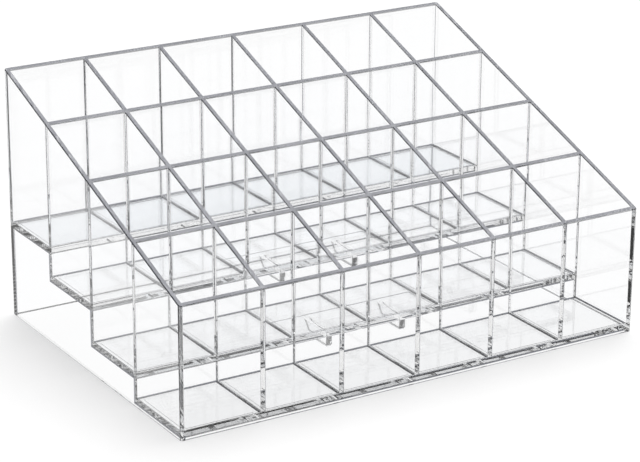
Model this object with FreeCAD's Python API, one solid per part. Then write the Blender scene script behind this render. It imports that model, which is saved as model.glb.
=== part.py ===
import FreeCAD, Part
import os

# Stepped organizer of clear sheet: X to the right, Y to the back, Z up.
# The origin is the centre of the footprint, on the surface that it stands on.

# Overall size
WIDTH = 220.0
DEPTH = 153.4
BACK_HEIGHT = 111.4
FRONT_HEIGHT = 56.1

# Grid of cells
COLUMNS = 6
ROWS = 4

# Sheet thicknesses
PANEL = 2.0
ROW_WALL = 2.0
DIVIDER = 2.0
FLOOR = 2.2

# Underside of each tier floor, from the back tier to the front tier
TIER_1_UNDERSIDE = 40.6
TIER_2_UNDERSIDE = 28.0
TIER_3_UNDERSIDE = 12.0
TIER_4_UNDERSIDE = 1.2

# Roundings
CORNER_ROUND = 1.2
CELL_CORNER = 1.0
CELL_COVE = 1.6
# Share of the cove's radius that the ridge of a floor climbs up its walls
COVE_CLIMB_SHARE = 0.6

# Half-lap joints between the row walls and the dividers
LAP_CLEARANCE = 0.08
FOOT_CLEARANCE = 0.08
# Share of the crossing's height that the slot in the divider takes
LAP_SHARE = 0.5

# Ribs under two of the floors
RIB_THICKNESS = 2.8
RIB_DEPTH = 5.0
RIB_LENGTH = 18.5
RIB_TAPER = 4.0
RIB_COLUMNS = (3, 4)

# Overrun of cutting tools
OVERRUN = 5.0

TIER_UNDERSIDES = (TIER_1_UNDERSIDE, TIER_2_UNDERSIDE, TIER_3_UNDERSIDE, TIER_4_UNDERSIDE)
X_IN = WIDTH / 2 - PANEL
Y_IN = DEPTH / 2 - PANEL
CELL_WIDTH = (2 * X_IN - (COLUMNS - 1) * DIVIDER) / COLUMNS
CELL_DEPTH = (2 * Y_IN - (ROWS - 1) * ROW_WALL) / ROWS
COVE_CLIMB = CELL_COVE * COVE_CLIMB_SHARE


def rim(y):
    """Height of the sloping top plane at the depth y."""
    return FRONT_HEIGHT + (BACK_HEIGHT - FRONT_HEIGHT) * (y + DEPTH / 2) / DEPTH


def cell_left(column):
    """Left end of a column of cells, counted from 1 at the left."""
    return -X_IN + (column - 1) * (CELL_WIDTH + DIVIDER)


def cell_back(row):
    """Back end of a row of cells, counted from 1 at the back."""
    return Y_IN - (row - 1) * (CELL_DEPTH + ROW_WALL)


def floor_top(row):
    """Height of a tier's floor."""
    return TIER_UNDERSIDES[row - 1] + FLOOR


def block(x0, x1, y0, y1, z0, z1):
    """Box between two corners."""
    return Part.makeBox(x1 - x0, y1 - y0, z1 - z0, FreeCAD.Vector(x0, y0, z0))


def plate(outline, x0, x1):
    """Outline of (y, z) points made into a plate from x0 to x1."""
    points = [FreeCAD.Vector(x0, y, z) for y, z in outline]
    face = Part.Face(Part.makePolygon(points + points[:1]))
    return face.extrude(FreeCAD.Vector(x1 - x0, 0, 0))


def uprights(shape):
    """The vertical edges of a shape."""
    boxes = [(edge, edge.BoundBox) for edge in shape.Edges]
    return [edge for edge, box in boxes if box.XLength + box.YLength < box.ZLength]


def side_panel(side):
    """Side panel, with its two outer upright edges rounded. side is -1 at the left and 1 at the right."""
    back, front = DEPTH / 2, -DEPTH / 2
    outline = [(front, 0), (back, 0), (back, BACK_HEIGHT), (front, FRONT_HEIGHT)]
    outer = side * WIDTH / 2
    panel = plate(outline, min(outer, side * X_IN), max(outer, side * X_IN))
    outer_edges = [edge for edge in uprights(panel) if abs(edge.CenterOfMass.x) > X_IN + PANEL / 2]
    return panel.makeFillet(CORNER_ROUND, outer_edges)


def cross_panel(y0, y1, foot):
    """Upright cross panel between the side panels, with its top edge in the sloping plane."""
    return plate([(y0, foot), (y1, foot), (y1, rim(y1)), (y0, rim(y0))], -X_IN, X_IN)


def back_panel():
    return cross_panel(Y_IN, DEPTH / 2, 0)


def front_panel():
    return cross_panel(-DEPTH / 2, -Y_IN, 0)


def lap_height(row):
    """Height at which the wall in front of a row and the dividers lap."""
    low = floor_top(row) + COVE_CLIMB
    high = rim(cell_back(row + 1))
    return low + (high - low) * LAP_SHARE


def row_wall(row):
    """Cross wall in front of a row: it carries on down as the riser of the next tier, slotted from above."""
    y0 = cell_back(row + 1)
    y1 = y0 + ROW_WALL
    wall = cross_panel(y0, y1, TIER_UNDERSIDES[row])
    slots = []
    for column in range(2, COLUMNS + 1):
        x1 = cell_left(column) + LAP_CLEARANCE
        x0 = x1 - DIVIDER - 2 * LAP_CLEARANCE
        slots.append(block(x0, x1, y0 - OVERRUN, y1 + OVERRUN, lap_height(row), BACK_HEIGHT + OVERRUN))
    return wall.cut(slots)


def divider(column):
    """Divider to the left of a column: its lower edge steps down with the floors, slotted from below."""
    outline = [(Y_IN, rim(Y_IN)), (Y_IN, floor_top(1))]
    for row in range(1, ROWS):
        front = cell_back(row) - CELL_DEPTH + LAP_CLEARANCE
        behind = cell_back(row + 1) - LAP_CLEARANCE
        outline += [(front, floor_top(row)), (front, lap_height(row))]
        outline += [(behind, lap_height(row)), (behind, floor_top(row + 1))]
    outline += [(-Y_IN, floor_top(ROWS)), (-Y_IN, rim(-Y_IN))]
    x1 = cell_left(column)
    return plate(outline, x1 - DIVIDER, x1)


def cell_bottom(row, column):
    """Bottom of a cell as a tool: a block with rounded uprights and a coved foot."""
    x0, y1, z0 = cell_left(column), cell_back(row), floor_top(row)
    x1, y0, z1 = x0 + CELL_WIDTH, y1 - CELL_DEPTH, z0 + CELL_COVE + OVERRUN
    tool = block(x0, x1, y0, y1, z0, z1)
    tool = tool.makeFillet(CELL_CORNER, uprights(tool))
    foot = [edge for edge in tool.Edges if edge.BoundBox.ZMax < z0 + CELL_COVE]
    return tool.makeFillet(CELL_COVE, foot)


def tier_floor(row):
    """Floor of a tier, between the walls, with coved ridges round each cell that seat the dividers."""
    y1 = cell_back(row)
    y0 = y1 - CELL_DEPTH
    top = floor_top(row)
    floor = block(-X_IN, X_IN, y0, y1, TIER_UNDERSIDES[row - 1], top + COVE_CLIMB)
    tools = [cell_bottom(row, column) for column in range(1, COLUMNS + 1)]
    for column in range(2, COLUMNS + 1):
        x1 = cell_left(column) + FOOT_CLEARANCE
        x0 = x1 - DIVIDER - 2 * FOOT_CLEARANCE
        tools.append(block(x0, x1, y0 - OVERRUN, y1 + OVERRUN, top, top + CELL_COVE + OVERRUN))
    return floor.cut(tools)


def floor_rib(row, column):
    """Rib under a tier's floor, in the middle of a column, from the riser in front towards the back."""
    top = TIER_UNDERSIDES[row - 1]
    y0 = cell_back(row) - CELL_DEPTH
    y1 = y0 + RIB_LENGTH
    middle = cell_left(column) + CELL_WIDTH / 2
    outline = [(y0, top), (y0, top - RIB_DEPTH), (y1 - RIB_TAPER, top - RIB_DEPTH), (y1, top)]
    return plate(outline, middle - RIB_THICKNESS / 2, middle + RIB_THICKNESS / 2)


def organizer():
    """Every piece by its name."""
    pieces = {
        "left_side_panel": side_panel(-1),
        "right_side_panel": side_panel(1),
        "back_panel": back_panel(),
        "front_panel": front_panel(),
        "row_wall_rear": row_wall(1),
        "row_wall_middle": row_wall(2),
        "row_wall_front": row_wall(3),
    }
    for column in range(2, COLUMNS + 1):
        pieces[f"divider_{column - 1}"] = divider(column)
    for row in range(1, ROWS + 1):
        pieces[f"tier_floor_{row}"] = tier_floor(row)
    for row in (2, 3):
        for column, side in zip(RIB_COLUMNS, ("left", "right")):
            pieces[f"floor_rib_{row}_{side}"] = floor_rib(row, column)
    return pieces


os.makedirs("parts", exist_ok=True)
for name, shape in organizer().items():
    shape.exportStep(os.path.join("parts", name + ".step"))
    print(name, shape.isValid(), len(shape.Solids), round(shape.Volume, 1))
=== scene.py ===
import math

import bmesh
import bpy
from bpy.props import FloatProperty, FloatVectorProperty, IntProperty, PointerProperty
from mathutils import Matrix, Vector


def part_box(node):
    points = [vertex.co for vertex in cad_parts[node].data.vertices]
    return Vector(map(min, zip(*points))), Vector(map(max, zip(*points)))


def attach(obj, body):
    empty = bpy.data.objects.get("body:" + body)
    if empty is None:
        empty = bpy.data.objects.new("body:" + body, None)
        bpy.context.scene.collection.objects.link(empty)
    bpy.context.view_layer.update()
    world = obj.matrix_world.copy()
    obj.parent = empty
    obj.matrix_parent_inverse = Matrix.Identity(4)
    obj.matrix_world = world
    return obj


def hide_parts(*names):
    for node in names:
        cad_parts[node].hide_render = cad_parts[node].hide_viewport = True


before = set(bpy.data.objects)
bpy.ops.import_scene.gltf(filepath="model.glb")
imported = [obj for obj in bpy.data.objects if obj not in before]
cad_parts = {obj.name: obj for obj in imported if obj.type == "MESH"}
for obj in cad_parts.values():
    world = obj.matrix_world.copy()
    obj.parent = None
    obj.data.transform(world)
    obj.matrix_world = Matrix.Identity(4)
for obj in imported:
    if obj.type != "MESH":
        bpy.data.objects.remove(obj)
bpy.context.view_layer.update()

bl_info = {
    "name": "Stepped clear organizer",
    "version": (1, 0, 0),
    "blender": (4, 5, 0),
    "location": "3D View > Sidebar > Organizer",
    "description": "Dresses a stepped organizer of clear plastic: panels, walls, dividers, floors and ribs",
    "category": "Object",
}

MM = 0.001
SIDES = ("left_side_panel", "right_side_panel")
ENDS = ("back_panel", "front_panel")
WALLS = ("row_wall_rear", "row_wall_middle", "row_wall_front")
DIVIDERS = tuple(f"divider_{n}" for n in range(1, 6))
FLOORS = tuple(f"tier_floor_{n}" for n in range(1, 5))
RIBS = ("floor_rib_2_left", "floor_rib_2_right", "floor_rib_3_left", "floor_rib_3_right")
BOX = {node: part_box(node) for node in SIDES + ENDS + WALLS + DIVIDERS + FLOORS + RIBS}

# Edges of the whole part, and the inner faces of its four outer walls
LEFT, RIGHT = BOX[SIDES[0]][0][0], BOX[SIDES[1]][1][0]
REAR, FACE = BOX[ENDS[0]][1][1], BOX[ENDS[1]][0][1]
TOP = BOX[ENDS[0]][1][2]
LEFT_IN, RIGHT_IN = BOX[SIDES[0]][1][0], BOX[SIDES[1]][0][0]
REAR_IN, FACE_IN = BOX[ENDS[0]][0][1], BOX[ENDS[1]][1][1]

# Columns of cells from the left, and rows from the back
COLUMNS = list(zip(
    [LEFT_IN] + [BOX[d][1][0] for d in DIVIDERS],
    [BOX[d][0][0] for d in DIVIDERS] + [RIGHT_IN],
))
ROWS = list(zip(
    [BOX[w][1][1] for w in WALLS] + [FACE_IN],
    [REAR_IN] + [BOX[w][0][1] for w in WALLS],
))
UNDERSIDES = [BOX[f][0][2] for f in FLOORS]
FLOOR_DEPTH = BOX[DIVIDERS[0]][0][2] - UNDERSIDES[-1]
FLOOR_TOPS = [z + FLOOR_DEPTH for z in UNDERSIDES]

# Inner corners beside the two front posts
FRONT_POSTS = (Vector((LEFT_IN, FACE_IN)), Vector((RIGHT_IN, FACE_IN)))

# Room that a cutting shape takes beyond the part
CLEAR = 2 * MM

# Angle between faces from which an edge counts as a corner, past the small turns across a rounding
SHARP = math.radians(20)

# Brightness of the studio round the part by the sine of the height angle
SKY = ((0.0, 1.0), (0.36, 1.0), (0.46, 0.03))

# Soft lamp: where it shines from, and how wide it looks
LAMP_PLACE = Vector((0.6, 0.45, 2.2))
LAMP_WIDTH = math.radians(42)

# How much of the floor's white each kind of ray sees as its own light
PAPER_GLOW = (("Is Camera Ray", 0.58), ("Is Glossy Ray", 0.97), ("Is Transmission Ray", 0.97))

# Camera: lens, place and the directions of its right, top and back
LENS, SENSOR = 136.894, 36.0
EYE = Vector((-0.51347226, -0.83183808, 0.39929239))
EYE_RIGHT = Vector((0.85236519, -0.52290326, 0.00676486))
EYE_UP = Vector((0.17401183, 0.29580161, 0.93926636))
EYE_BACK = Vector((-0.4931465, -0.79942078, 0.34312235))

# Clear plastic: how it bends light, and what each face leaves of a lamp's light
PLASTIC_INDEX = 1.5
LAMP_LEFT = (0.68, 0.68, 0.685, 1)

# Satin of the top edges: depths below the sloping plane over which it fades in,
# and how far a face follows that plane from the rounding to the flat middle
# The grey of the satin and the darker lines along its roundings are painted shade
SATIN_FADE = (0.5 * MM, 0.3 * MM)
SATIN_FLAT = (0.97, 0.9995)

# Turns, in degrees, of the steps in which the mouth of a cell flares, and the stretch that follows the slope
MOUTH_TURNS = (0.0, 30.0, 60.0, 82.0)
MOUTH_STRETCH = 1.04

# Length of a rib's tapered end as a share of its depth
RIB_TAPER = 0.8

# Rows of the floors with ribs, counted from 0 at the back, and the columns that the thick zone spans
RIBBED_ROWS, RIBBED_COLUMNS = (1, 2), (2, 3)

# Material places on every piece: open faces, faces that are cemented to another piece, and roundings, whose
# material is darkened as painted shade
OPEN_FACE, BONDED_FACE, SHADED_BEND_FACE = 0, 1, 2


class OrganizerShape(bpy.types.PropertyGroup):
    """Roundings and low steps of the clear plastic."""

    corner: FloatProperty(
        name="Outer corner", description="Rounding of the four outer upright corners",
        default=1.2 * MM, min=0.1 * MM, unit="LENGTH",
    )
    upright: FloatProperty(
        name="Cell corner", description="Rounding in the upright corners of a cell",
        default=0.6 * MM, min=0.1 * MM, unit="LENGTH",
    )
    cove: FloatProperty(
        name="Cell cove", description="Rounding round the floor of a cell",
        default=0.45 * MM, min=0.2 * MM, unit="LENGTH",
    )
    rim: FloatProperty(
        name="Rim rounding", description="Rounding of the top edges",
        default=0.35 * MM, min=0.05 * MM, unit="LENGTH",
    )
    hollow: FloatProperty(
        name="Underside rounding", description="Rounding of the corners of the hollow under the floors",
        default=0.6 * MM, min=0.05 * MM, unit="LENGTH",
    )
    margin: FloatProperty(
        name="Field margin", description="Distance from the cove to the raised field of a floor",
        default=1.5 * MM, min=0.2 * MM, unit="LENGTH",
    )
    step: FloatProperty(
        name="Field step", description="Height of the raised field of a floor",
        default=0.1 * MM, min=0.02 * MM, unit="LENGTH",
    )
    zone: FloatProperty(
        name="Thick zone", description="How far back the thicker part of a ribbed floor goes",
        default=21 * MM, min=1 * MM, unit="LENGTH",
    )
    thick: FloatProperty(
        name="Thick zone step", description="Step down to the thicker part of a ribbed floor",
        default=0.7 * MM, min=0.02 * MM, unit="LENGTH",
    )
    seam: FloatProperty(
        name="Seam", description="Distance from a rounding to the cemented seam beyond it",
        default=0.35 * MM, min=0.1 * MM, unit="LENGTH",
    )
    steps: IntProperty(
        name="Rounding steps", description="Faces across a rounding", default=4, min=1, max=8,
    )


class OrganizerFinishAndShade(bpy.types.PropertyGroup):
    """Finish of the clear plastic, with the painted shade of its roundings, satin top edges and rear floor."""

    sheet_tint: FloatVectorProperty(
        name="Sheet tint", description="Colour of the walls and dividers",
        default=(0.997, 0.998, 1.0), size=3, subtype="COLOR", min=0, max=1,
    )
    floor_tint: FloatVectorProperty(
        name="Floor tint", description="Colour of the three front tier floors",
        default=(0.985, 0.99, 0.995), size=3, subtype="COLOR", min=0, max=1,
    )
    # Painted shade: the rear tier floor gets a darker copy of the floor plastic
    rear_painted_shade: FloatVectorProperty(
        name="Rear floor painted shade", description="Colour of the rear tier floor",
        default=(0.87, 0.893, 0.915), size=3, subtype="COLOR", min=0, max=1,
    )
    # Painted shade: the roundings are darkened to stand for the dark lines that the clear corners and coves show
    bend_painted_shade: FloatVectorProperty(
        name="Rounding painted shade", description="Colour of the roundings in the corners",
        default=(0.035, 0.038, 0.05), size=3, subtype="COLOR", min=0, max=1,
    )
    # Painted shade: grey of the satin top edges, standing for the grey of light trapped in the plastic
    rim_painted_shade: FloatVectorProperty(
        name="Rim painted shade", description="Colour of the satin top edges",
        default=(0.68, 0.69, 0.74), size=3, subtype="COLOR", min=0, max=1,
    )
    # Painted shade: dark lines along the roundings beside the satin top edges
    rim_line_painted_shade: FloatVectorProperty(
        name="Rim line painted shade", description="Colour of the roundings beside the satin top edges",
        default=(0.08, 0.085, 0.105), size=3, subtype="COLOR", min=0, max=1,
    )
    rim_dull: FloatProperty(
        name="Rim roughness", description="Roughness of the satin top edges", default=0.45, min=0, max=1,
    )
    rim_share: FloatProperty(
        name="Rim cover", description="How much the satin of the top edges hides", default=0.6, min=0, max=1,
    )
    absorb: FloatProperty(
        name="Absorption", description="Light that the plastic takes, per metre of its depth",
        default=4.5, min=0,
    )
    wave: FloatProperty(
        name="Wave", description="Width of the slow waves in the moulded faces",
        default=22 * MM, min=1 * MM, unit="LENGTH",
    )
    depth: FloatProperty(
        name="Wave depth", description="Height of the slow waves",
        default=0.004 * MM, min=0, unit="LENGTH",
    )


class OrganizerStage(bpy.types.PropertyGroup):
    """Floor, light and camera."""

    paper: FloatVectorProperty(
        name="Floor", description="Colour of the floor", default=(0.96, 0.96, 0.96), size=3,
        subtype="COLOR", min=0, max=1,
    )
    lamp: FloatProperty(
        name="Lamp", description="Strength of the soft lamp", default=3.3, min=0,
    )


def rim_height(y):
    """Height of the sloping plane that all top edges lie in."""
    low_y, low_z = FACE_IN, BOX["front_panel"][1][2]
    return low_z + (TOP - low_z) * (y - low_y) / (REAR - low_y)


def new_object(bm, name, materials=()):
    """Object of a finished bmesh, in the scene."""
    mesh = bpy.data.meshes.new(name)
    bm.to_mesh(mesh)
    bm.free()
    for material in materials:
        mesh.materials.append(material)
    obj = bpy.data.objects.new(name, mesh)
    bpy.context.scene.collection.objects.link(obj)
    return obj


def round_edges(bm, edges, width, steps, place=OPEN_FACE):
    """Rounds edges, and marks the new faces as curved and with their material place."""
    made = bmesh.ops.bevel(
        bm, geom=edges, offset=width, offset_type="OFFSET", segments=steps, affect="EDGES",
        profile=0.5, material=-1, clamp_overlap=True,
    )
    for face in made["faces"]:
        face.smooth = True
        face.material_index = place


def is_upright(edge):
    """True for an edge that stands straight up."""
    a, b = (v.co for v in edge.verts)
    return (a - b).xy.length < abs(a.z - b.z) * 0.001


def cube_between(bm, low, high):
    """Cube with two opposite corners."""
    size = Vector(high) - Vector(low)
    place = Matrix.Translation((Vector(low) + Vector(high)) / 2) @ Matrix.Diagonal((*size, 1))
    return bmesh.ops.create_cube(bm, size=1, matrix=place)["verts"]


def prism(bm, points, way):
    """Closed shape of an outline of points moved along way."""
    face = bm.faces.new([bm.verts.new(p) for p in points])
    made = bmesh.ops.extrude_face_region(bm, geom=[face], use_keep_orig=True)["geom"]
    bmesh.ops.translate(bm, vec=way, verts=[v for v in made if isinstance(v, bmesh.types.BMVert)])
    bmesh.ops.recalc_face_normals(bm, faces=bm.faces)


def outer_block(shape):
    """The whole outside: a block with a sloping top, rounded corners and softened edges."""
    bm = bmesh.new()
    for vert in cube_between(bm, (LEFT, FACE, 0), (RIGHT, REAR, TOP)):
        if vert.co.z > TOP / 2:
            vert.co.z = rim_height(vert.co.y)
    round_edges(bm, [e for e in bm.edges if is_upright(e)], shape.corner, shape.steps)
    # The roundings of the bottom edges get painted shade, a dark line where the part meets the floor; those of
    # the top stay clear
    for side, place in ((1, OPEN_FACE), (-1, SHADED_BEND_FACE)):
        cap = next(f for f in bm.faces if f.normal.z * side > 0.5)
        round_edges(bm, list(cap.edges), shape.rim, 2, place)
    return new_object(bm, "outer_block", sheet_materials())


def highest(bm):
    """The highest face."""
    return max(bm.faces, key=lambda f: f.calc_center_median().z)


def cell_space(shape, column, row):
    """The space in a cell: rounded uprights, a coved foot and a mouth that flares over the rim."""
    (x0, x1), (y0, y1), z0 = COLUMNS[column], ROWS[row], FLOOR_TOPS[row]
    bm = bmesh.new()
    for vert in cube_between(bm, (x0, y0, z0), (x1, y1, TOP)):
        if vert.co.z > z0 + shape.cove:
            vert.co.z = rim_height(vert.co.y) - shape.rim
    foot = min(bm.faces, key=lambda f: f.calc_center_median().z)
    # The cove and the upright roundings get painted shade
    round_edges(bm, list(foot.edges), shape.cove, shape.steps + 1, SHADED_BEND_FACE)
    lip = set(highest(bm).edges)
    corners = [e for e in bm.edges if e not in lip and e.calc_face_angle() > SHARP]
    round_edges(bm, corners, shape.upright, shape.steps, SHADED_BEND_FACE)
    clear_front(bm, shape, y0, z0)
    raise_field(bm, shape)
    mouth = highest(bm)
    middle = Vector(((x0 + x1) / 2, (y0 + y1) / 2, 0))
    for before, after in zip(MOUTH_TURNS, MOUTH_TURNS[1:]):
        a, b = math.radians(before), math.radians(after)
        out = shape.rim * (math.cos(a) - math.cos(b))
        up = shape.rim * (math.sin(b) - math.sin(a)) * MOUTH_STRETCH
        mouth = raise_mouth(bm, mouth, middle, out, up)
    raise_mouth(bm, mouth, middle, 0, CLEAR)
    bmesh.ops.recalc_face_normals(bm, faces=bm.faces)
    return new_object(bm, f"cell_{row}_{column}")


def clear_front(bm, shape, front, foot):
    """Keeps the roundings along the front panel and in its two inner corners clear of the painted shade that the
    other roundings get.
    """
    for face in bm.faces:
        spot = face.calc_center_median()
        post = abs(face.normal.z) < 0.1 and any((spot.xy - at).length < shape.upright for at in FRONT_POSTS)
        sill = front == FACE_IN and spot.y < front + shape.cove and spot.z < foot + shape.cove
        if post or sill:
            face.material_index = OPEN_FACE


def raise_field(bm, shape):
    """Raises the middle of a cell's floor by a low step, a little way in from the walls."""
    bm.faces.ensure_lookup_table()
    floor = min(bm.faces, key=lambda f: f.calc_center_median().z)
    bmesh.ops.inset_region(bm, faces=[floor], thickness=shape.margin, use_even_offset=True)
    ring = bmesh.ops.inset_region(bm, faces=[floor], thickness=shape.step, use_even_offset=True)["faces"]
    # The ring of the step gets painted shade
    for face in ring:
        face.material_index = SHADED_BEND_FACE
    bmesh.ops.translate(bm, vec=(0, 0, shape.step), verts=floor.verts)


def raise_mouth(bm, mouth, middle, out, up):
    """Moves the mouth of a cell up and outwards by another step, and returns its face."""
    made = bmesh.ops.extrude_face_region(bm, geom=[mouth])["geom"]
    bmesh.ops.delete(bm, geom=[mouth], context="FACES_KEEP_BOUNDARY")
    verts = [v for v in made if isinstance(v, bmesh.types.BMVert)]
    wide = max(abs(v.co.x - middle.x) for v in verts)
    deep = max(abs(v.co.y - middle.y) for v in verts)
    bmesh.ops.scale(
        bm, vec=((wide + out) / wide, (deep + out) / deep, 1), verts=verts,
        space=Matrix.Translation(-middle),
    )
    bmesh.ops.translate(bm, vec=(0, 0, up), verts=verts)
    face = next(f for f in made if isinstance(f, bmesh.types.BMFace))
    for edge in face.edges:
        for side in edge.link_faces:
            side.smooth = side is not face and out > 0
    return face


def hollow_space(shape):
    """The stepped hollow under the floors, open below."""
    outline = [(REAR_IN, -CLEAR), (REAR_IN, UNDERSIDES[0])]
    for (front, _), here, below in zip(ROWS, UNDERSIDES, UNDERSIDES[1:]):
        outline += [(front, here), (front, below)]
    outline += [(FACE_IN, UNDERSIDES[-1]), (FACE_IN, -CLEAR)]
    bm = bmesh.new()
    prism(bm, [(LEFT_IN, y, z) for y, z in outline], (RIGHT_IN - LEFT_IN, 0, 0))
    edges = [e for e in bm.edges if any(v.co.z > 0 for v in e.verts)]
    # The roundings of the hollow get painted shade
    round_edges(bm, edges, shape.hollow, shape.steps - 1, SHADED_BEND_FACE)
    return new_object(bm, "hollow")


def rib_block(shape, node):
    """A rib that reaches into the floor above it and the riser in front of it."""
    low, high = BOX[node]
    into = shape.seam
    taper = (high[2] - low[2]) * RIB_TAPER
    outline = [
        (low[1] - into, high[2] + into), (low[1] - into, low[2]),
        (high[1] - taper, low[2]), (high[1], high[2] + into),
    ]
    bm = bmesh.new()
    prism(bm, [(low[0], y, z) for y, z in outline], (high[0] - low[0], 0, 0))
    round_edges(bm, list(bm.edges), shape.rim, 2)
    return new_object(bm, f"{node}_block")


def thick_zone(shape, row):
    """The thicker front half of a ribbed floor across the two middle columns, let into the floor."""
    first, last = RIBBED_COLUMNS
    x0, x1 = COLUMNS[first][0], COLUMNS[last][1]
    y0, z0 = ROWS[row][0], UNDERSIDES[row]
    bm = bmesh.new()
    cube_between(bm, (x0, y0 - shape.seam, z0 - shape.thick), (x1, y0 + shape.zone, z0 + shape.thick))
    # The roundings of the thick zone get painted shade
    round_edges(bm, list(bm.edges), shape.thick / 2, 2, SHADED_BEND_FACE)
    return new_object(bm, f"thick_zone_{row}")


def boolean(base, tools, operation):
    """Cuts, joins or keeps the shared part of base and tools, and returns the new mesh. The tools are used up."""
    group = bpy.data.collections.new("tools")
    bpy.context.scene.collection.children.link(group)
    for tool in tools:
        bpy.context.scene.collection.objects.unlink(tool)
        group.objects.link(tool)
    change = base.modifiers.new(operation, "BOOLEAN")
    change.operation = operation
    change.solver = "EXACT"
    if len(tools) > 1:
        change.operand_type = "COLLECTION"
        change.collection = group
    else:
        change.object = tools[0]
    graph = bpy.context.evaluated_depsgraph_get()
    mesh = bpy.data.meshes.new_from_object(base.evaluated_get(graph))
    base.modifiers.remove(change)
    for tool in tools:
        bpy.data.meshes.remove(tool.data)
    bpy.data.collections.remove(group)
    return mesh


def joined_body(shape):
    """Every piece as one body without seams, as cement leaves it: the pieces are cut from this."""
    base = outer_block(shape)
    cells = [cell_space(shape, c, r) for r in range(len(ROWS)) for c in range(len(COLUMNS))]
    base.data = boolean(base, cells + [hollow_space(shape)], "DIFFERENCE")
    added = [rib_block(shape, node) for node in RIBS] + [thick_zone(shape, row) for row in RIBBED_ROWS]
    base.data = boolean(base, added, "UNION")
    base.name = base.data.name = "joined_body"
    return base


def piece_of(outline, way, node, materials):
    """The share of the joined body in a prism, as the finished piece for one CAD node."""
    bm = bmesh.new()
    prism(bm, outline, way)
    for face in bm.faces:
        face.material_index = BONDED_FACE
    share = new_object(bm, f"{node}_share", materials)
    body = bpy.data.objects["joined_body"]
    mesh = boolean(body, [share], "INTERSECT")
    for place, material in enumerate(materials):
        mesh.materials[place] = material
    bm = bmesh.new()
    bm.from_mesh(mesh)
    bmesh.ops.remove_doubles(bm, verts=bm.verts, dist=0.0005 * MM)
    if not all(edge.is_manifold for edge in bm.edges):
        raise RuntimeError(f"{node} isn't closed")
    bm.to_mesh(mesh)
    bm.free()
    piece = bpy.data.objects.new(f"{node}_clear", mesh)
    mesh.name = piece.name
    bpy.context.scene.collection.objects.link(piece)
    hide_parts(node)
    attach(piece, "root")
    return piece


def seam_of(shape):
    """Distance from a wall to the seam beyond its rounding."""
    return shape.upright + shape.seam


def floor_seam(shape, row):
    """Height of the seam over the cove of a floor."""
    return FLOOR_TOPS[row] + shape.cove + shape.seam


def under_seam(shape, row):
    """Height of the seam below a floor and its thicker zone."""
    return UNDERSIDES[row] - shape.thick - shape.seam


def lap_height(row):
    """Height at which a row wall and the dividers lap."""
    return (FLOOR_TOPS[row] + rim_height(ROWS[row][0])) / 2


def feed(link, socket, value):
    """Links a socket to an output, or sets it to a plain value."""
    if isinstance(value, bpy.types.NodeSocket):
        link(value, socket)
    else:
        socket.default_value = value


def sum_of(nodes, link, operation, *values):
    """Output of a maths node over outputs and plain numbers."""
    node = nodes.new("ShaderNodeMath")
    node.operation = operation
    for socket, value in zip(node.inputs, values):
        feed(link, socket, value)
    return node.outputs[0]


def mix_of(nodes, link, blend, factor, a, b):
    """Output of a mix of two colours."""
    node = nodes.new("ShaderNodeMix")
    node.data_type = "RGBA"
    node.blend_type = blend
    for name, value in (("Factor", factor), ("A", a), ("B", b)):
        feed(link, node.inputs[name], value)
    return node.outputs["Result"]


def mapped(nodes, link, value, start, end, low=0.0, high=1.0):
    """Output that goes from low to high while value goes from start to end."""
    node = nodes.new("ShaderNodeMapRange")
    for name, given in (
        ("Value", value), ("From Min", start), ("From Max", end), ("To Min", low), ("To Max", high),
    ):
        feed(link, node.inputs[name], given)
    return node.outputs["Result"]


def moulding_group():
    """Node group: slow waves, flow lines and specks of a moulded clear face."""
    name = "moulded face"
    if name in bpy.data.node_groups:
        return bpy.data.node_groups[name]
    group = bpy.data.node_groups.new(name, "ShaderNodeTree")
    sockets = group.interface
    for label, default in (("Wave Scale", 45.0), ("Ripple Scale", 260.0), ("Ripple Share", 0.15)):
        sockets.new_socket(label, in_out="INPUT", socket_type="NodeSocketFloat").default_value = default
    # Tint carries the plastic's own faint colour, and painted shade for the roundings and the rear floor
    tint = sockets.new_socket("Tint", in_out="INPUT", socket_type="NodeSocketColor")
    tint.default_value = (1, 1, 1, 1)
    sockets.new_socket("Color", in_out="OUTPUT", socket_type="NodeSocketColor")
    sockets.new_socket("Roughness", in_out="OUTPUT", socket_type="NodeSocketFloat")
    sockets.new_socket("Height", in_out="OUTPUT", socket_type="NodeSocketFloat")
    nodes, link = group.nodes, group.links.new
    inside, outside = nodes.new("NodeGroupInput"), nodes.new("NodeGroupOutput")
    place = nodes.new("ShaderNodeTexCoord")
    wave, ripple, speck = (nodes.new("ShaderNodeTexNoise") for _ in range(3))
    for noise in (wave, ripple, speck):
        link(place.outputs["Object"], noise.inputs["Vector"])
        noise.inputs["Detail"].default_value = 1.0
    link(inside.outputs["Wave Scale"], wave.inputs["Scale"])
    link(inside.outputs["Ripple Scale"], ripple.inputs["Scale"])
    speck.inputs["Scale"].default_value = 900.0
    height = sum_of(
        nodes, link, "MULTIPLY_ADD", ripple.outputs["Fac"], inside.outputs["Ripple Share"], wave.outputs["Fac"],
    )
    link(height, outside.inputs["Height"])
    dull = mapped(nodes, link, speck.outputs["Fac"], 0.55, 0.85, high=0.015)
    link(dull, outside.inputs["Roughness"])
    shade = mix_of(
        nodes, link, "MULTIPLY", wave.outputs["Fac"], inside.outputs["Tint"], (0.996, 0.997, 0.998, 1),
    )
    link(shade, outside.inputs["Color"])
    return group


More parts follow.
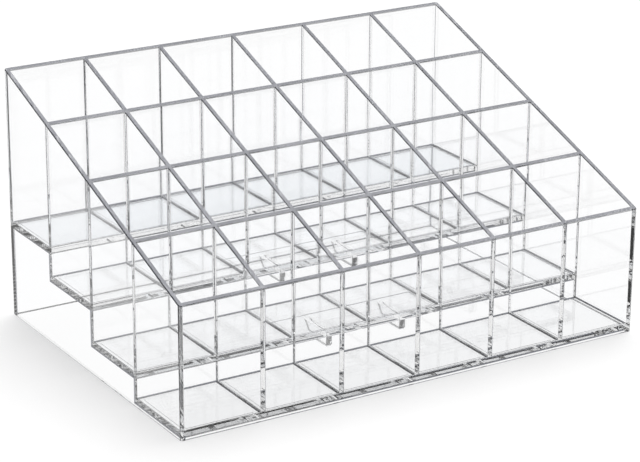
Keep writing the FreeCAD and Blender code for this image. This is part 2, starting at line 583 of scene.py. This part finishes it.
def clear_material(name, tint, finish):
    """Clear moulded plastic: lets lamps through, with slow waves and faint specks. Its tint is the plastic's own
    faint colour on the sheets and front floors, and painted shade on the roundings and the rear floor.
    """
    if name in bpy.data.materials:
        return bpy.data.materials[name]
    material = bpy.data.materials.new(name)
    material.use_nodes = True
    nodes, link = material.node_tree.nodes, material.node_tree.links.new
    plastic, out = nodes["Principled BSDF"], nodes["Material Output"]
    plastic.inputs["Transmission Weight"].default_value = 1.0
    plastic.inputs["IOR"].default_value = PLASTIC_INDEX
    face = nodes.new("ShaderNodeGroup")
    face.node_tree = moulding_group()
    face.inputs["Wave Scale"].default_value = 1 / finish.wave
    face.inputs["Tint"].default_value = (*tint, 1)
    link(face.outputs["Color"], plastic.inputs["Base Color"])
    link(face.outputs["Roughness"], plastic.inputs["Roughness"])
    bump = nodes.new("ShaderNodeBump")
    bump.inputs["Strength"].default_value = 1.0
    bump.inputs["Distance"].default_value = finish.depth
    link(face.outputs["Height"], bump.inputs["Height"])
    link(bump.outputs["Normal"], plastic.inputs["Normal"])
    light = nodes.new("ShaderNodeLightPath")
    dimmed = nodes.new("ShaderNodeMixShader")
    link(absorbed_share(nodes, link, light, finish.absorb), dimmed.inputs["Fac"])
    edge, cover = satin_edge(nodes, link, finish, face.outputs["Height"])
    satin = nodes.new("ShaderNodeMixShader")
    link(cover, satin.inputs["Fac"])
    link(plastic.outputs["BSDF"], satin.inputs[1])
    link(edge.outputs["BSDF"], satin.inputs[2])
    link(satin.outputs[0], dimmed.inputs[1])
    pane = nodes.new("ShaderNodeBsdfTransparent")
    pane.inputs["Color"].default_value = LAMP_LEFT
    both = nodes.new("ShaderNodeMixShader")
    link(light.outputs["Is Shadow Ray"], both.inputs["Fac"])
    link(dimmed.outputs[0], both.inputs[1])
    link(pane.outputs["BSDF"], both.inputs[2])
    link(both.outputs[0], out.inputs["Surface"])
    return material


def rim_masks(nodes, link):
    """1 within the rounding of the sloping plane that the top edges lie in, and 1 on their flat middle."""
    slope = (rim_height(REAR_IN) - rim_height(FACE_IN)) / (REAR_IN - FACE_IN)
    up = Vector((0, -slope, 1)).normalized()
    plane = up.dot(Vector((0, 0, rim_height(0))))
    masks = []
    for source, span in (
        (nodes.new("ShaderNodeTexCoord").outputs["Object"], [plane - depth for depth in SATIN_FADE]),
        (nodes.new("ShaderNodeNewGeometry").outputs["Normal"], SATIN_FLAT),
    ):
        along = nodes.new("ShaderNodeVectorMath")
        along.operation = "DOT_PRODUCT"
        link(source, along.inputs[0])
        along.inputs[1].default_value = up
        masks.append(mapped(nodes, link, along.outputs["Value"], *span))
    return masks


def satin_edge(nodes, link, finish, wave):
    """Satin top edge painted grey as shade, with darker painted shade along its two roundings, and how much of
    the clear plastic it covers.
    """
    zone, middle = rim_masks(nodes, link)
    # Painted shade: dark along the roundings of the top edge, grey on its flat middle
    shade = mix_of(nodes, link, "MIX", middle, (*finish.rim_line_painted_shade, 1), (*finish.rim_painted_shade, 1))
    uneven = mix_of(nodes, link, "MULTIPLY", wave, shade, (0.6, 0.6, 0.61, 1))
    edge = nodes.new("ShaderNodeBsdfPrincipled")
    link(uneven, edge.inputs["Base Color"])
    edge.inputs["Roughness"].default_value = finish.rim_dull
    return edge, sum_of(nodes, link, "MULTIPLY", zone, finish.rim_share)


def absorbed_share(nodes, link, light, strength):
    """Share of the light that the plastic takes from a ray that it turns back inside, by the way gone."""
    depth = sum_of(nodes, link, "MULTIPLY", light.outputs["Ray Length"], -strength)
    taken = sum_of(nodes, link, "SUBTRACT", 1.0, sum_of(nodes, link, "EXPONENT", depth))
    turned = nodes.new("ShaderNodeFresnel")
    turned.inputs["IOR"].default_value = PLASTIC_INDEX
    behind = nodes.new("ShaderNodeNewGeometry").outputs["Backfacing"]
    inside = sum_of(nodes, link, "MULTIPLY", turned.outputs["Fac"], behind)
    return sum_of(nodes, link, "MULTIPLY", taken, inside)


def bonded_material():
    """Cemented face: light goes straight through it into the next piece."""
    name = "bonded_face"
    if name in bpy.data.materials:
        return bpy.data.materials[name]
    material = bpy.data.materials.new(name)
    material.use_nodes = True
    plastic = material.node_tree.nodes["Principled BSDF"]
    plastic.inputs["Alpha"].default_value = 0.0
    return material


def sheet_materials():
    """Materials of the walls and dividers by their places."""
    finish = bpy.context.scene.organizer_finish
    return (
        clear_material("polished_sheet", finish.sheet_tint, finish), bonded_material(),
        # The material of the roundings is painted shade
        clear_material("sheet_rounding", finish.bend_painted_shade, finish),
    )


def floor_materials(row):
    """Materials of a tier floor by their places. The rear one is a darker copy of the floor plastic, painted
    shade.
    """
    finish = bpy.context.scene.organizer_finish
    name, tint = ("polished_floor", finish.floor_tint) if row else ("polished_rear_floor", finish.rear_painted_shade)
    return (
        clear_material(name, tint, finish), bonded_material(),
        # The material of the roundings is painted shade
        clear_material("floor_rounding", finish.bend_painted_shade, finish),
    )


class ORGANIZER_OT_body(bpy.types.Operator):
    """Makes the joined body that the pieces are cut from"""

    bl_idname = "organizer.body"
    bl_label = "Joined body"

    def execute(self, context):
        joined_body(context.scene.organizer_shape)
        return {"FINISHED"}


class ORGANIZER_OT_side_panels(bpy.types.Operator):
    """Makes the left and right side panels"""

    bl_idname = "organizer.side_panels"
    bl_label = "Side panels"

    def execute(self, context):
        seam = seam_of(context.scene.organizer_shape)
        for node, x0, x1 in (
            (SIDES[0], LEFT - CLEAR, LEFT_IN + seam), (SIDES[1], RIGHT_IN - seam, RIGHT + CLEAR),
        ):
            corners = [
                (FACE - CLEAR, -CLEAR), (REAR + CLEAR, -CLEAR),
                (REAR + CLEAR, TOP + CLEAR), (FACE - CLEAR, TOP + CLEAR),
            ]
            piece_of([(x0, y, z) for y, z in corners], (x1 - x0, 0, 0), node, sheet_materials())
        return {"FINISHED"}


class ORGANIZER_OT_end_panels(bpy.types.Operator):
    """Makes the back and front panels"""

    bl_idname = "organizer.end_panels"
    bl_label = "Back and front panels"

    def execute(self, context):
        seam = seam_of(context.scene.organizer_shape)
        x0, x1 = LEFT_IN + seam, RIGHT_IN - seam
        for node, y0, y1 in (
            (ENDS[0], REAR_IN - seam, REAR + CLEAR), (ENDS[1], FACE - CLEAR, FACE_IN + seam),
        ):
            corners = [(x0, -CLEAR), (x1, -CLEAR), (x1, TOP + CLEAR), (x0, TOP + CLEAR)]
            piece_of([(x, y0, z) for x, z in corners], (0, y1 - y0, 0), node, sheet_materials())
        return {"FINISHED"}


class ORGANIZER_OT_row_walls(bpy.types.Operator):
    """Makes the three row walls, notched from above where the dividers lap them"""

    bl_idname = "organizer.row_walls"
    bl_label = "Row walls"

    def execute(self, context):
        shape = context.scene.organizer_shape
        seam = seam_of(shape)
        for row, node in enumerate(WALLS):
            y0, y1 = BOX[node][0][1] - seam, BOX[node][1][1] + seam
            low, lap, high = under_seam(shape, row + 1), lap_height(row), TOP + CLEAR
            corners = [(LEFT_IN + seam, low), (LEFT_IN + seam, high)]
            for divider in DIVIDERS:
                a, b = BOX[divider][0][0] - seam, BOX[divider][1][0] + seam
                corners += [(a, high), (a, lap), (b, lap), (b, high)]
            corners += [(RIGHT_IN - seam, high), (RIGHT_IN - seam, low)]
            piece_of([(x, y0, z) for x, z in corners], (0, y1 - y0, 0), node, sheet_materials())
        return {"FINISHED"}


class ORGANIZER_OT_dividers(bpy.types.Operator):
    """Makes the five dividers, stepped below and notched where they straddle the row walls"""

    bl_idname = "organizer.dividers"
    bl_label = "Dividers"

    def execute(self, context):
        shape = context.scene.organizer_shape
        seam = seam_of(shape)
        corners = [(REAR_IN - seam, TOP + CLEAR), (REAR_IN - seam, floor_seam(shape, 0))]
        for row, node in enumerate(WALLS):
            behind, before = BOX[node][1][1] + seam, BOX[node][0][1] - seam
            corners += [(behind, floor_seam(shape, row)), (behind, lap_height(row))]
            corners += [(before, lap_height(row)), (before, floor_seam(shape, row + 1))]
        corners += [(FACE_IN + seam, floor_seam(shape, len(FLOORS) - 1)), (FACE_IN + seam, TOP + CLEAR)]
        for node in DIVIDERS:
            x0, x1 = BOX[node][0][0] - seam, BOX[node][1][0] + seam
            piece_of([(x0, y, z) for y, z in corners], (x1 - x0, 0, 0), node, sheet_materials())
        return {"FINISHED"}


class ORGANIZER_OT_tier_floors(bpy.types.Operator):
    """Makes the four tier floors with their coved cell bottoms"""

    bl_idname = "organizer.tier_floors"
    bl_label = "Tier floors"

    def execute(self, context):
        shape = context.scene.organizer_shape
        seam = seam_of(shape)
        x0, x1 = LEFT_IN + seam, RIGHT_IN - seam
        for row, node in enumerate(FLOORS):
            y0, y1 = ROWS[row][0] + seam, ROWS[row][1] - seam
            low, high = under_seam(shape, row), floor_seam(shape, row)
            corners = [(y0, low), (y1, low), (y1, high), (y0, high)]
            piece_of([(x0, y, z) for y, z in corners], (x1 - x0, 0, 0), node, floor_materials(row))
        return {"FINISHED"}


class ORGANIZER_OT_floor_ribs(bpy.types.Operator):
    """Makes the four ribs under the second and third tier"""

    bl_idname = "organizer.floor_ribs"
    bl_label = "Floor ribs"

    def execute(self, context):
        shape = context.scene.organizer_shape
        for node in RIBS:
            low, high = BOX[node]
            x0, x1 = low[0] - CLEAR, high[0] + CLEAR
            y0, y1 = low[1] + seam_of(shape), high[1] + CLEAR
            z0, z1 = low[2] - CLEAR, high[2] - shape.thick - shape.seam
            corners = [(y0, z0), (y1, z0), (y1, z1), (y0, z1)]
            piece_of([(x0, y, z) for y, z in corners], (x1 - x0, 0, 0), node, sheet_materials())
        return {"FINISHED"}


class ORGANIZER_OT_stage(bpy.types.Operator):
    """Sets the white floor, the soft studio light and the camera"""

    bl_idname = "organizer.stage"
    bl_label = "Stage"

    def execute(self, context):
        scene = context.scene
        stage = scene.organizer_stage
        bm = bmesh.new()
        bmesh.ops.create_grid(
            bm, x_segments=1, y_segments=1, size=6, matrix=Matrix.Translation((0, 0, -0.1 * MM)),
        )
        floor = new_object(bm, "paper_floor", [paper_material(stage)])
        scene.world = studio_world()
        lamp = bpy.data.lights.new("soft_lamp", "SUN")
        lamp.energy, lamp.angle = stage.lamp, LAMP_WIDTH
        lamp_object = bpy.data.objects.new("soft_lamp", lamp)
        scene.collection.objects.link(lamp_object)
        lamp_object.visible_transmission = lamp_object.visible_glossy = False
        lamp_object.matrix_world = LAMP_PLACE.to_track_quat("Z", "Y").to_matrix().to_4x4()
        camera = bpy.data.cameras.new("camera")
        camera.lens, camera.sensor_width, camera.clip_end = LENS, SENSOR, 50.0
        eye = bpy.data.objects.new("camera", camera)
        scene.collection.objects.link(eye)
        turned = Matrix((EYE_RIGHT, EYE_UP, EYE_BACK)).transposed().to_4x4()
        eye.matrix_world = Matrix.Translation(EYE) @ turned
        scene.camera = eye
        scene.view_settings.view_transform = "Standard"
        scene.cycles.max_bounces = 64
        scene.cycles.transmission_bounces = 64
        scene.cycles.glossy_bounces = 32
        scene.cycles.transparent_max_bounces = 128
        return {"FINISHED"}


def paper_material(stage):
    """White floor that keeps the soft shadow. Its glow isn't seen by light that another surface has scattered."""
    material = bpy.data.materials.new("white_paper")
    material.use_nodes = True
    nodes, link = material.node_tree.nodes, material.node_tree.links.new
    paper, out = nodes["Principled BSDF"], nodes["Material Output"]
    paper.inputs["Base Color"].default_value = (*stage.paper, 1)
    paper.inputs["Roughness"].default_value = 0.9
    paper.inputs["Specular IOR Level"].default_value = 0.0
    light = nodes.new("ShaderNodeLightPath")
    share = 0.0
    for ray, part in PAPER_GLOW:
        seen = sum_of(nodes, link, "MULTIPLY", light.outputs[ray], part)
        share = sum_of(nodes, link, "MAXIMUM", share, seen)
    direct = sum_of(nodes, link, "LESS_THAN", light.outputs["Diffuse Depth"], 0.5)
    shown = sum_of(nodes, link, "MULTIPLY", share, direct)
    glow = nodes.new("ShaderNodeEmission")
    both = nodes.new("ShaderNodeMixShader")
    link(shown, both.inputs["Fac"])
    link(paper.outputs["BSDF"], both.inputs[1])
    link(glow.outputs["Emission"], both.inputs[2])
    link(both.outputs[0], out.inputs["Surface"])
    return material


def studio_world():
    """White low down all round and dark overhead, and plain white to the camera."""
    world = bpy.data.worlds.new("studio")
    world.use_nodes = True
    nodes, link = world.node_tree.nodes, world.node_tree.links.new
    sky = nodes["Background"]
    place = nodes.new("ShaderNodeTexCoord")
    height = nodes.new("ShaderNodeSeparateXYZ")
    link(place.outputs["Generated"], height.inputs[0])
    ramp = nodes.new("ShaderNodeValToRGB")
    stops = ramp.color_ramp.elements
    while len(stops) < len(SKY):
        stops.new(0.5)
    for stop, (height_sine, grey) in zip(stops, SKY):
        stop.position = height_sine
        stop.color = (grey, grey, grey, 1)
    link(height.outputs["Z"], ramp.inputs["Fac"])
    light = nodes.new("ShaderNodeLightPath")
    shown = mix_of(nodes, link, "MIX", light.outputs["Is Camera Ray"], ramp.outputs["Color"], (1, 1, 1, 1))
    link(shown, sky.inputs["Color"])
    return world


class ORGANIZER_PT_panel(bpy.types.Panel):
    """Lists the pieces and their settings"""

    bl_idname = "ORGANIZER_PT_panel"
    bl_label = "Stepped clear organizer"
    bl_space_type = "VIEW_3D"
    bl_region_type = "UI"
    bl_category = "Organizer"

    def draw(self, context):
        scene = context.scene
        for group in (scene.organizer_shape, scene.organizer_finish, scene.organizer_stage):
            box = self.layout.box()
            for name in group.bl_rna.properties.keys():
                if name not in ("rna_type", "name"):
                    box.prop(group, name)
        for operator in OPERATORS:
            self.layout.operator(operator.bl_idname)


OPERATORS = (
    ORGANIZER_OT_body,
    ORGANIZER_OT_side_panels,
    ORGANIZER_OT_end_panels,
    ORGANIZER_OT_row_walls,
    ORGANIZER_OT_dividers,
    ORGANIZER_OT_tier_floors,
    ORGANIZER_OT_floor_ribs,
    ORGANIZER_OT_stage,
)
CLASSES = (OrganizerShape, OrganizerFinishAndShade, OrganizerStage) + OPERATORS + (ORGANIZER_PT_panel,)


def register():
    for cls in CLASSES:
        bpy.utils.register_class(cls)
    bpy.types.Scene.organizer_shape = PointerProperty(type=OrganizerShape)
    bpy.types.Scene.organizer_finish = PointerProperty(type=OrganizerFinishAndShade)
    bpy.types.Scene.organizer_stage = PointerProperty(type=OrganizerStage)


def unregister():
    del bpy.types.Scene.organizer_stage
    del bpy.types.Scene.organizer_finish
    del bpy.types.Scene.organizer_shape
    for cls in reversed(CLASSES):
        bpy.utils.unregister_class(cls)


def main():
    register()
    bpy.ops.organizer.body()
    bpy.ops.organizer.side_panels()
    bpy.ops.organizer.end_panels()
    bpy.ops.organizer.row_walls()
    bpy.ops.organizer.dividers()
    bpy.ops.organizer.tier_floors()
    bpy.ops.organizer.floor_ribs()
    bpy.data.meshes.remove(bpy.data.objects["joined_body"].data)
    bpy.ops.organizer.stage()


if __name__ == "__main__":
    main()
